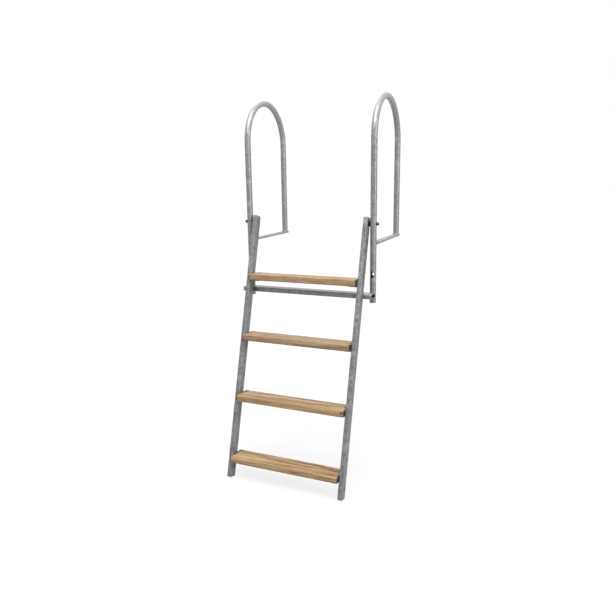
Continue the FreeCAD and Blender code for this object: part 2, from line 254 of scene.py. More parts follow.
def galvanised_steel(name, dull, middle, bright, seed, lumps=1.0, sheen=(0.36, 0.58), metal=0.2,
                     painted_light_above=None, painted_shade_inside=0.0):
    """Hot-dip galvanised steel, weathered: soft grey with zinc crystals of about a centimetre.

    The bath leaves clouds, thicker runs down the piece and a fine pebbled skin, and weather turns patches
    chalky.
    Painted light makes it lighter above a height, given as the lowest height, the height over which it grows,
    its share and its colour. Painted shade darkens hollows, such as the inside of a tube, by the last
    argument's share.
    """
    material, tree = new_material(name)
    coordinates = add(tree, "ShaderNodeTexCoord").outputs["Object"]
    place = add(tree, "ShaderNodeMapping",
                {"Vector": coordinates, "Location": (seed * 0.37, seed * 0.71, seed * 0.23)}).outputs[0]
    upright = add(tree, "ShaderNodeMapping", {"Vector": place, "Scale": (1, 1, 0.14)}).outputs[0]
    crystals = add(tree, "ShaderNodeTexVoronoi", {"Vector": place, "Scale": 1 / (9 * MM)}).outputs["Color"]
    crystal_tone = add(tree, "ShaderNodeSeparateColor", {"Color": crystals}).outputs["Red"]
    clouds = add(tree, "ShaderNodeTexNoise",
                 {"Vector": place, "Scale": 1 / (55 * MM), "Detail": 4.0, "Roughness": 0.55}).outputs["Fac"]
    flecks = add(tree, "ShaderNodeTexNoise",
                 {"Vector": place, "Scale": 1 / (11 * MM), "Detail": 3.0, "Roughness": 0.6}).outputs["Fac"]
    runs = add(tree, "ShaderNodeTexNoise",
               {"Vector": upright, "Scale": 1 / (8 * MM), "Detail": 2.0, "Roughness": 0.5}).outputs["Fac"]
    skin = add(tree, "ShaderNodeTexNoise",
               {"Vector": place, "Scale": 1 / (1.4 * MM), "Detail": 2.0, "Roughness": 0.5}).outputs["Fac"]
    tone = weigh(tree, [(clouds, 0.30), (flecks, 0.34), (runs, 0.20), (crystal_tone, 0.16)])
    zinc = add(tree, "ShaderNodeValToRGB", {"Fac": tone},
               stops=[(0.34, dull), (0.5, middle), (0.66, bright)]).outputs["Color"]
    patches = add(tree, "ShaderNodeTexNoise",
                  {"Vector": place, "Scale": 1 / (34 * MM), "Detail": 6.0, "Roughness": 0.65}).outputs["Fac"]
    chalk = add(tree, "ShaderNodeMapRange",
                {"Value": patches, "From Min": 0.56, "From Max": 0.70, "To Max": 0.55}).outputs["Result"]
    colour = add(tree, "ShaderNodeMix", {"Factor": chalk, 6: zinc, 7: linear("C6C6C5")},
                 data_type="RGBA").outputs[2]
    # painted light: lighter above the given height, as on the handrail loops and the crossbar's top face
    if painted_light_above:
        lowest, rise, share, painted_light_colour = painted_light_above
        level = add(tree, "ShaderNodeSeparateXYZ", {"Vector": coordinates}).outputs["Z"]
        worn = add(tree, "ShaderNodeMapRange",
                   {"Value": level, "From Min": lowest, "From Max": lowest + rise,
                    "To Max": share}).outputs["Result"]
        colour = add(tree, "ShaderNodeMix", {"Factor": worn, 6: colour, 7: linear(painted_light_colour)},
                     data_type="RGBA").outputs[2]
    # painted shade: darker where ambient occlusion finds little open around, as inside a tube and close to
    # other parts
    if painted_shade_inside:
        openness = add(tree, "ShaderNodeAmbientOcclusion", {"Distance": 60 * MM}, samples=8).outputs["AO"]
        painted_shade = add(tree, "ShaderNodeMapRange",
                   {"Value": openness, "From Min": 0.42, "From Max": 0.15,
                    "To Max": painted_shade_inside}).outputs["Result"]
        colour = add(tree, "ShaderNodeMix", {"Factor": painted_shade, 6: colour, 7: linear("141312")},
                     data_type="RGBA").outputs[2]
    roughness = add(tree, "ShaderNodeMapRange",
                    {"Value": flecks, "From Min": 0.3, "From Max": 0.7, "To Min": sheen[0],
                     "To Max": sheen[1]}).outputs["Result"]
    height = weigh(tree, [(flecks, 0.5 * lumps), (runs, 0.5 * lumps), (crystal_tone, 0.10), (skin, 0.10)])
    bump = add(tree, "ShaderNodeBump",
               {"Height": height, "Strength": 0.5, "Distance": 0.9 * MM}).outputs["Normal"]
    shader = add(tree, "ShaderNodeBsdfPrincipled",
                 {"Base Color": colour, "Metallic": metal, "Specular IOR Level": 0.4, "Roughness": roughness,
                  "Normal": bump}).outputs[0]
    add(tree, "ShaderNodeOutputMaterial", {"Surface": shader})
    return material


def planed_softwood(name):
    """Planed pine or larch, bare and weathered: straw early wood, orange late wood, dark wet end grain.

    Each board carries what differs in it as attributes: in_log is its place in the log, in which the growth
    rings are drawn, figure how bold its bands are, greyed and sapwood how much of each shows, and the last
    mark the way to the nearer of an end behind the middle, where shade is painted, and the lower edge,
    painted darker.
    """
    material, tree = new_material(name)
    in_log = add(tree, "ShaderNodeAttribute", attribute_name="in_log").outputs["Vector"]
    # growth rings some 5 mm apart, which wander along the board
    along = add(tree, "ShaderNodeMapping", {"Vector": in_log, "Scale": (0.10, 1, 1)}).outputs[0]
    wander = add(tree, "ShaderNodeTexNoise",
                 {"Vector": along, "Scale": 1 / (45 * MM), "Detail": 3.0}).outputs["Color"]
    centred = add(tree, "ShaderNodeVectorMath", {0: wander, 1: (0.5, 0.5, 0.5)},
                  operation="SUBTRACT").outputs[0]
    pushed = add(tree, "ShaderNodeVectorMath", {0: centred, 1: (24 * MM, 24 * MM, 24 * MM), 2: in_log},
                 operation="MULTIPLY_ADD").outputs[0]
    across = add(tree, "ShaderNodeVectorMath", {0: pushed, 1: (0.0, 1.0, 1.0)},
                 operation="MULTIPLY").outputs[0]
    radius = add(tree, "ShaderNodeVectorMath", {0: across}, operation="LENGTH").outputs["Value"]
    rings = add(tree, "ShaderNodeMath", {0: radius, 1: 5.2 * MM}, operation="DIVIDE").outputs[0]
    year = add(tree, "ShaderNodeMath", {0: rings}, operation="FRACT").outputs[0]
    late = add(tree, "ShaderNodeValToRGB", {"Fac": year},
               stops=[(0.0, "D2B68C"), (0.45, "C8A576"), (0.80, "AC7C4E"), (0.94, "8A5832"),
                      (1.0, "D2B68C")]).outputs["Color"]
    # fibres and wider streaks; the fibres are drawn much coarser than real ones, so that they show
    fibre_place = add(tree, "ShaderNodeMapping", {"Vector": in_log, "Scale": (0.02, 1, 1)}).outputs[0]
    fibres = add(tree, "ShaderNodeTexNoise",
                 {"Vector": fibre_place, "Scale": 1 / (1.6 * MM), "Detail": 3.0,
                  "Roughness": 0.6}).outputs["Fac"]
    streaks = add(tree, "ShaderNodeTexNoise",
                  {"Vector": fibre_place, "Scale": 1 / (9 * MM), "Detail": 3.0,
                   "Roughness": 0.6}).outputs["Fac"]
    heart = add(tree, "ShaderNodeValToRGB", {"Fac": streaks},
                stops=[(0.32, "A8784E"), (0.46, "C39C6C"), (0.60, "D8BD94"),
                       (0.72, "B67E54")]).outputs["Color"]
    wood = add(tree, "ShaderNodeMix", {"Factor": 0.5, 6: late, 7: heart}, data_type="RGBA").outputs[2]
    # broad bands, as where the saw runs nearly along the rings
    band_place = add(tree, "ShaderNodeMapping", {"Vector": in_log, "Scale": (0.055, 1, 1)}).outputs[0]
    bands = add(tree, "ShaderNodeTexNoise",
                {"Vector": band_place, "Scale": 1 / (15 * MM), "Detail": 4.0,
                 "Roughness": 0.62}).outputs["Fac"]
    broad = add(tree, "ShaderNodeValToRGB", {"Fac": bands},
                stops=[(0.38, "6E3F24"), (0.45, "AA713F"), (0.51, "C3A070"),
                       (0.59, "E6D2AA")]).outputs["Color"]
    figure = add(tree, "ShaderNodeAttribute", attribute_name="figure").outputs["Fac"]
    wood = add(tree, "ShaderNodeMix", {"Factor": figure, 6: wood, 7: broad}, data_type="RGBA").outputs[2]
    # greyed and pale faces, then thin streaks of resin and of pale early wood
    greyed = add(tree, "ShaderNodeAttribute", attribute_name="greyed").outputs["Fac"]
    sapwood = add(tree, "ShaderNodeAttribute", attribute_name="sapwood").outputs["Fac"]
    streak_place = add(tree, "ShaderNodeMapping", {"Vector": in_log, "Scale": (0.05, 1, 1)}).outputs[0]
    thin = add(tree, "ShaderNodeTexNoise",
               {"Vector": streak_place, "Scale": 1 / (5 * MM), "Detail": 3.0,
                "Roughness": 0.65}).outputs["Fac"]
    resin = add(tree, "ShaderNodeMapRange",
                {"Value": thin, "From Min": 0.54, "From Max": 0.64, "To Max": 0.65}).outputs["Result"]
    pale = add(tree, "ShaderNodeMapRange",
               {"Value": thin, "From Min": 0.44, "From Max": 0.34, "To Max": 0.6}).outputs["Result"]
    for share, tint in ((greyed, "B4A594"), (sapwood, "F6D2A2"), (resin, "9A5E36"), (pale, "EAD6B0")):
        wood = add(tree, "ShaderNodeMix", {"Factor": share, 6: wood, 7: linear(tint)},
                   data_type="RGBA").outputs[2]
    fine = add(tree, "ShaderNodeValToRGB", {"Fac": fibres},
               stops=[(0.30, "AFA391"), (0.55, "E8E6E2")]).outputs["Color"]
    wood = add(tree, "ShaderNodeMix", {"Factor": 0.7, 6: wood, 7: fine}, data_type="RGBA",
               blend_type="MULTIPLY").outputs[2]
    # a knot here and there; painted shade at the ends behind the middle and a darker lower edge, both ragged
    # along the streaks; and end grain, dark all over and deepened with painted shade
    knot_cells = add(tree, "ShaderNodeTexVoronoi",
                     {"Vector": pushed, "Scale": 1 / (120 * MM)}).outputs["Distance"]
    knot = add(tree, "ShaderNodeMapRange",
               {"Value": knot_cells, "From Min": 0.11, "From Max": 0.05, "To Max": 0.85}).outputs["Result"]
    from_wet = add(tree, "ShaderNodeAttribute", attribute_name="from_wet").outputs["Fac"]
    ragged = add(tree, "ShaderNodeMath", {0: streaks, 1: -44 * MM, 2: from_wet},
                 operation="MULTIPLY_ADD").outputs[0]
    # painted shade at the ends behind the middle, and a darker lower edge
    painted_shade_and_dark_edge = add(tree, "ShaderNodeMapRange",
               {"Value": ragged, "From Min": -7 * MM, "From Max": 0.0, "To Min": 0.9,
                "To Max": 0.0}).outputs["Result"]
    normal = add(tree, "ShaderNodeNewGeometry").outputs["Normal"]
    facing = add(tree, "ShaderNodeSeparateXYZ", {"Vector": normal}).outputs["X"]
    end = add(tree, "ShaderNodeMath", {0: facing}, operation="ABSOLUTE").outputs[0]
    # end faces darker: the end grain's own darkness, deepened with painted shade
    end_grain_and_shade = add(tree, "ShaderNodeMapRange",
                    {"Value": end, "From Min": 0.75, "From Max": 0.95, "To Max": 0.9}).outputs["Result"]
    for share, tint in ((knot, "6E452B"), (painted_shade_and_dark_edge, "46301C"), (end_grain_and_shade, "2A1B10")):
        wood = add(tree, "ShaderNodeMix", {"Factor": share, 6: wood, 7: linear(tint)},
                   data_type="RGBA").outputs[2]
    roughness = add(tree, "ShaderNodeMapRange",
                    {"Value": fibres, "From Min": 0.3, "From Max": 0.7, "To Min": 0.58,
                     "To Max": 0.78}).outputs["Result"]
    height = weigh(tree, [(year, 0.35), (fibres, 0.65)])
    bump = add(tree, "ShaderNodeBump",
               {"Height": height, "Strength": 0.5, "Distance": 0.4 * MM}).outputs["Normal"]
    shader = add(tree, "ShaderNodeBsdfPrincipled",
                 {"Base Color": wood, "Roughness": roughness, "Normal": bump}).outputs[0]
    add(tree, "ShaderNodeOutputMaterial", {"Surface": shader})
    return material


def weathered_bolt_steel(name, dark, light, rust):
    """Forged and plated steel that has gone dull by the water: blotched, with fine grit and spots of rust."""
    material, tree = new_material(name)
    coordinates = add(tree, "ShaderNodeTexCoord").outputs["Object"]
    blotches = add(tree, "ShaderNodeTexNoise",
                   {"Vector": coordinates, "Scale": 1 / (6 * MM), "Detail": 4.0,
                    "Roughness": 0.6}).outputs["Fac"]
    grit = add(tree, "ShaderNodeTexNoise",
               {"Vector": coordinates, "Scale": 1 / (0.7 * MM), "Detail": 2.0}).outputs["Fac"]
    steel = add(tree, "ShaderNodeValToRGB", {"Fac": blotches},
                stops=[(0.35, dark), (0.62, light)]).outputs["Color"]
    rusty = add(tree, "ShaderNodeMapRange",
                {"Value": blotches, "From Min": 0.50, "From Max": 0.62, "To Max": 0.75}).outputs["Result"]
    spotted = weigh(tree, [(rusty, 1.0), (grit, 0.3)])
    rust_share = add(tree, "ShaderNodeMapRange",
                     {"Value": spotted, "From Min": 0.4, "From Max": 1.1, "To Max": 0.8}).outputs["Result"]
    colour = add(tree, "ShaderNodeMix", {"Factor": rust_share, 6: steel, 7: linear(rust)},
                 data_type="RGBA").outputs[2]
    roughness = add(tree, "ShaderNodeMapRange",
                    {"Value": rust_share, "To Min": 0.42, "To Max": 0.8}).outputs["Result"]
    bump = add(tree, "ShaderNodeBump",
               {"Height": grit, "Strength": 0.4, "Distance": 0.15 * MM}).outputs["Normal"]
    shader = add(tree, "ShaderNodeBsdfPrincipled",
                 {"Base Color": colour, "Metallic": 0.6, "Roughness": roughness, "Normal": bump}).outputs[0]
    add(tree, "ShaderNodeOutputMaterial", {"Surface": shader})
    return material


def black_nylon(name):
    """Moulded black nylon bush, greyed a little by the sun, with faint turning rings along its axis."""
    material, tree = new_material(name)
    coordinates = add(tree, "ShaderNodeTexCoord").outputs["Object"]
    along = add(tree, "ShaderNodeMapping", {"Vector": coordinates, "Scale": (1, 0.01, 0.01)}).outputs[0]
    rings = add(tree, "ShaderNodeTexNoise", {"Vector": along, "Scale": 1 / (0.5 * MM)}).outputs["Fac"]
    haze = add(tree, "ShaderNodeTexNoise",
               {"Vector": coordinates, "Scale": 1 / (5 * MM), "Detail": 3.0}).outputs["Fac"]
    colour = add(tree, "ShaderNodeValToRGB", {"Fac": haze},
                 stops=[(0.35, "030303"), (0.65, "0A0A0B")]).outputs["Color"]
    bump = add(tree, "ShaderNodeBump",
               {"Height": rings, "Strength": 0.3, "Distance": 0.1 * MM}).outputs["Normal"]
    roughness = add(tree, "ShaderNodeMapRange",
                    {"Value": haze, "To Min": 0.55, "To Max": 0.75}).outputs["Result"]
    shader = add(tree, "ShaderNodeBsdfPrincipled",
                 {"Base Color": colour, "Roughness": roughness, "Specular IOR Level": 0.25,
                  "Normal": bump}).outputs[0]
    add(tree, "ShaderNodeOutputMaterial", {"Surface": shader})
    return material


# Pieces made with geometry nodes

def new_tree(name, labels):
    """Geometry tree and its named inputs, which labels lists for each type of socket."""
    tree = bpy.data.node_groups.new(name, "GeometryNodeTree")
    tree.interface.new_socket("Geometry", in_out="INPUT", socket_type="NodeSocketGeometry")
    for kind, named in labels.items():
        for label in named:
            tree.interface.new_socket(label, in_out="INPUT", socket_type="NodeSocket" + kind)
    tree.interface.new_socket("Geometry", in_out="OUTPUT", socket_type="NodeSocketGeometry")
    return tree, add(tree, "NodeGroupInput").outputs


def end_tree(tree, geometry, material, crease=math.radians(35)):
    """Smooth shading except over sharp edges, then plain geometry with its material."""
    angle = add(tree, "GeometryNodeInputMeshEdgeAngle").outputs["Unsigned Angle"]
    soft = add(tree, "ShaderNodeMath", {0: angle, 1: crease}, operation="LESS_THAN").outputs[0]
    faces = add(tree, "GeometryNodeSetShadeSmooth", {"Geometry": geometry, "Shade Smooth": True},
                domain="FACE").outputs[0]
    edges = add(tree, "GeometryNodeSetShadeSmooth", {"Geometry": faces, "Shade Smooth": soft},
                domain="EDGE").outputs[0]
    real = add(tree, "GeometryNodeRealizeInstances", {"Geometry": edges}).outputs[0]
    painted = add(tree, "GeometryNodeSetMaterial", {"Geometry": real, "Material": material}).outputs[0]
    add(tree, "NodeGroupOutput", {"Geometry": painted})


def grow(name, tree, values):
    """Plain mesh object that the tree gives for these inputs."""
    mesh = bpy.data.meshes.new(name + "_seed")
    maker = bpy.data.objects.new(name + "_maker", mesh)
    bpy.context.collection.objects.link(maker)
    modifier = maker.modifiers.new("tree", "NODES")
    modifier.node_group = tree
    sockets = {item.name: item.identifier for item in tree.interface.items_tree if item.in_out == "INPUT"}
    for label, value in values.items():
        modifier[sockets[label]] = value
    maker.update_tag()
    graph = bpy.context.evaluated_depsgraph_get()
    graph.update()
    result = bpy.data.meshes.new_from_object(maker.evaluated_get(graph), depsgraph=graph)
    result.name = name
    maker.modifiers.remove(modifier)
    bpy.data.objects.remove(maker)
    piece = bpy.data.objects.new(name, result)
    bpy.context.collection.objects.link(piece)
    return piece


def grow_along(runs, name, tree, values):
    """Plain mesh object that the tree lays along these runs."""
    path = path_object(name + "_path", runs)
    piece = grow(name, tree, {"Path": path, **values})
    bpy.data.objects.remove(path)
    return piece


def tread_board_tree():
    """Board along X with rounded long edges, eased ends and worn arrises."""
    tree, size = new_tree("tread_board", {
        "Float": ["Length", "Depth", "Thickness", "Edge Radius", "End Ease", "Wear", "Seed",
                  "Greyed", "Sapwood", "Figure"],
        "Vector": ["Place", "Turn", "Sawn At"],
        "Material": ["Material"]})
    half = add(tree, "ShaderNodeMath", {0: size["Length"], 1: 0.5}, operation="MULTIPLY").outputs[0]
    minus_half = add(tree, "ShaderNodeMath", {0: size["Length"], 1: -0.5}, operation="MULTIPLY").outputs[0]
    left = add(tree, "ShaderNodeCombineXYZ", {"X": minus_half}).outputs[0]
    right = add(tree, "ShaderNodeCombineXYZ", {"X": half}).outputs[0]
    line = add(tree, "GeometryNodeCurvePrimitiveLine", {"Start": left, "End": right}).outputs[0]
    stations = add(tree, "GeometryNodeResampleCurve", {"Curve": line, "Count": 130}, mode="COUNT").outputs[0]
    section = add(tree, "GeometryNodeCurvePrimitiveQuadrilateral",
                  {"Width": size["Depth"], "Height": size["Thickness"]}).outputs[0]
    rounded = add(tree, "GeometryNodeFilletCurve",
                  {"Curve": section, "Count": 5, "Radius": size["Edge Radius"]}, mode="POLY").outputs[0]
    board = add(tree, "GeometryNodeCurveToMesh",
                {"Curve": stations, "Profile Curve": rounded, "Fill Caps": True}).outputs[0]
    position = add(tree, "GeometryNodeInputPosition").outputs[0]
    apart = add(tree, "ShaderNodeSeparateXYZ", {"Vector": position}).outputs
    # ends: the last ring of points drawn in a little all round
    from_middle = add(tree, "ShaderNodeMath", {0: apart["X"]}, operation="ABSOLUTE").outputs[0]
    from_end = add(tree, "ShaderNodeMath", {0: half, 1: from_middle}, operation="SUBTRACT").outputs[0]
    last_ring = add(tree, "ShaderNodeMath", {0: from_end, 1: 0.5 * MM}, operation="LESS_THAN").outputs[0]
    sign = add(tree, "ShaderNodeVectorMath", {0: position}, operation="SIGN").outputs[0]
    inward = add(tree, "ShaderNodeVectorMath", {0: sign, 1: (0.0, -1.0, -1.0)},
                 operation="MULTIPLY").outputs[0]
    ease = add(tree, "ShaderNodeMath", {0: last_ring, 1: size["End Ease"]}, operation="MULTIPLY").outputs[0]
    eased = add(tree, "ShaderNodeVectorMath", {0: inward, "Scale": ease}, operation="SCALE").outputs[0]
    drawn = add(tree, "GeometryNodeSetPosition", {"Geometry": board, "Offset": eased}).outputs[0]
    # wear: more is lost where the noise is high, towards the middle of the board
    seed_shift = add(tree, "ShaderNodeCombineXYZ", {"X": size["Seed"], "Y": size["Seed"]}).outputs[0]
    shifted = add(tree, "ShaderNodeVectorMath", {0: position, 1: seed_shift}, operation="ADD").outputs[0]
    dents = add(tree, "ShaderNodeTexNoise",
                {"Vector": shifted, "Scale": 1 / (28 * MM), "Detail": 3.0, "Roughness": 0.6}).outputs["Fac"]
    loss = add(tree, "ShaderNodeMapRange",
               {"Value": dents, "From Min": 0.46, "From Max": 0.75,
                "To Max": size["Wear"]}).outputs["Result"]
    worn = add(tree, "ShaderNodeVectorMath", {0: inward, "Scale": loss}, operation="SCALE").outputs[0]
    used = add(tree, "GeometryNodeSetPosition", {"Geometry": drawn, "Offset": worn}).outputs[0]
    # marks for the wood: place in the log, sapwood and greying from the front edge back, and the way to the
    # painted shade at the ends and to the darker lower edge
    in_log = add(tree, "ShaderNodeVectorMath", {0: position, 1: size["Sawn At"]}, operation="ADD").outputs[0]
    off_grain = math.radians(1.6)
    sloped = add(tree, "ShaderNodeVectorRotate", {"Vector": in_log, "Angle": off_grain},
                 rotation_type="Y_AXIS").outputs[0]
    marked = add(tree, "GeometryNodeStoreNamedAttribute",
                 {"Geometry": used, "Name": "in_log", "Value": sloped}, data_type="FLOAT_VECTOR",
                 domain="POINT").outputs[0]
    front_edge = add(tree, "ShaderNodeMath", {0: size["Depth"], 1: -0.5}, operation="MULTIPLY").outputs[0]
    from_front = add(tree, "ShaderNodeMath", {0: apart["Y"], 1: front_edge}, operation="SUBTRACT").outputs[0]
    in_sapwood = add(tree, "ShaderNodeMapRange",
                     {"Value": from_front, "From Min": 5 * MM, "From Max": 1 * MM,
                      "To Max": size["Sapwood"]}).outputs["Result"]
    front_grey = add(tree, "ShaderNodeMath", {0: size["Greyed"], 1: 0.5}, operation="MULTIPLY").outputs[0]
    grey = add(tree, "ShaderNodeMapRange",
               {"Value": from_front, "From Max": 6 * MM, "To Min": front_grey,
                "To Max": size["Greyed"]}).outputs["Result"]
    # painted shade at the ends behind the middle, next to the stringers, and darker along the lower edge
    forward = add(tree, "ShaderNodeMapRange",
                  {"Value": from_front, "From Min": 25 * MM, "From Max": 55 * MM, "To Min": 18 * MM,
                   "To Max": 0.0}).outputs["Result"]
    shaded_ends = add(tree, "ShaderNodeMath", {0: from_end, 1: forward}, operation="ADD").outputs[0]
    half_thickness = add(tree, "ShaderNodeMath", {0: size["Thickness"], 1: 0.5},
                         operation="MULTIPLY").outputs[0]
    above_bottom = add(tree, "ShaderNodeMath", {0: apart["Z"], 1: half_thickness},
                       operation="ADD").outputs[0]
    dark_low_edge = add(tree, "ShaderNodeMath", {0: above_bottom, 1: 2.0, 2: 17 * MM},
                     operation="MULTIPLY_ADD").outputs[0]
    from_wet = add(tree, "ShaderNodeMath", {0: shaded_ends, 1: dark_low_edge}, operation="MINIMUM").outputs[0]
    marks = (("from_wet", from_wet), ("greyed", grey), ("sapwood", in_sapwood),
             ("figure", size["Figure"]))
    for label, value in marks:
        marked = add(tree, "GeometryNodeStoreNamedAttribute",
                     {"Geometry": marked, "Name": label, "Value": value}, data_type="FLOAT",
                     domain="POINT").outputs[0]
    placed = add(tree, "GeometryNodeTransform",
                 {"Geometry": marked, "Translation": size["Place"], "Rotation": size["Turn"]}).outputs[0]
    end_tree(tree, placed, size["Material"])
    return tree


def weld_bead_tree():
    """Rippled bead along each path: one ripple for each time the rod was moved on."""
    tree, size = new_tree("weld_bead", {
        "Object": ["Path"], "Float": ["Bead Radius", "Ripple", "Seed"], "Material": ["Material"]})
    path = add(tree, "GeometryNodeObjectInfo", {"Object": size["Path"]},
               transform_space="ORIGINAL").outputs["Geometry"]
    points = add(tree, "GeometryNodeResampleCurve", {"Curve": path, "Length": 0.5 * MM},
                 mode="LENGTH").outputs[0]
    along = add(tree, "GeometryNodeSplineParameter").outputs
    whole = add(tree, "GeometryNodeSplineLength").outputs["Length"]
    steps = add(tree, "ShaderNodeMath", {0: along["Length"], 1: size["Ripple"]},
                operation="DIVIDE").outputs[0]
    scallop = add(tree, "ShaderNodeMath", {0: steps}, operation="FRACT").outputs[0]
    left = add(tree, "ShaderNodeMath", {0: whole, 1: along["Length"]}, operation="SUBTRACT").outputs[0]
    nearest = add(tree, "ShaderNodeMath", {0: along["Length"], 1: left}, operation="MINIMUM").outputs[0]
    ends = add(tree, "ShaderNodeMapRange",
               {"Value": nearest, "From Max": 2.5 * MM, "To Min": 0.35, "To Max": 1.0}).outputs["Result"]
    ripple = add(tree, "ShaderNodeMapRange",
                 {"Value": scallop, "To Min": 0.86, "To Max": 1.0}).outputs["Result"]
    thickness = add(tree, "ShaderNodeMath", {0: ripple, 1: ends}, operation="MULTIPLY").outputs[0]
    section = add(tree, "GeometryNodeCurvePrimitiveCircle",
                  {"Resolution": 10, "Radius": size["Bead Radius"]}).outputs[0]
    bead = add(tree, "GeometryNodeCurveToMesh",
               {"Curve": points, "Profile Curve": section, "Scale": thickness, "Fill Caps": True}).outputs[0]
    position = add(tree, "GeometryNodeInputPosition").outputs[0]
    shift = add(tree, "ShaderNodeCombineXYZ", {"X": size["Seed"]}).outputs[0]
    moved = add(tree, "ShaderNodeVectorMath", {0: position, 1: shift}, operation="ADD").outputs[0]
    lumps = add(tree, "ShaderNodeTexNoise",
                {"Vector": moved, "Scale": 1 / (4 * MM), "Detail": 1.0}).outputs["Color"]
    centred = add(tree, "ShaderNodeVectorMath", {0: lumps, 1: (0.5, 0.5, 0.5)},
                  operation="SUBTRACT").outputs[0]
    offset = add(tree, "ShaderNodeVectorMath", {0: centred, "Scale": 1.6 * MM}, operation="SCALE").outputs[0]
    rough = add(tree, "GeometryNodeSetPosition", {"Geometry": bead, "Offset": offset}).outputs[0]
    end_tree(tree, rough, size["Material"], crease=math.radians(70))
    return tree


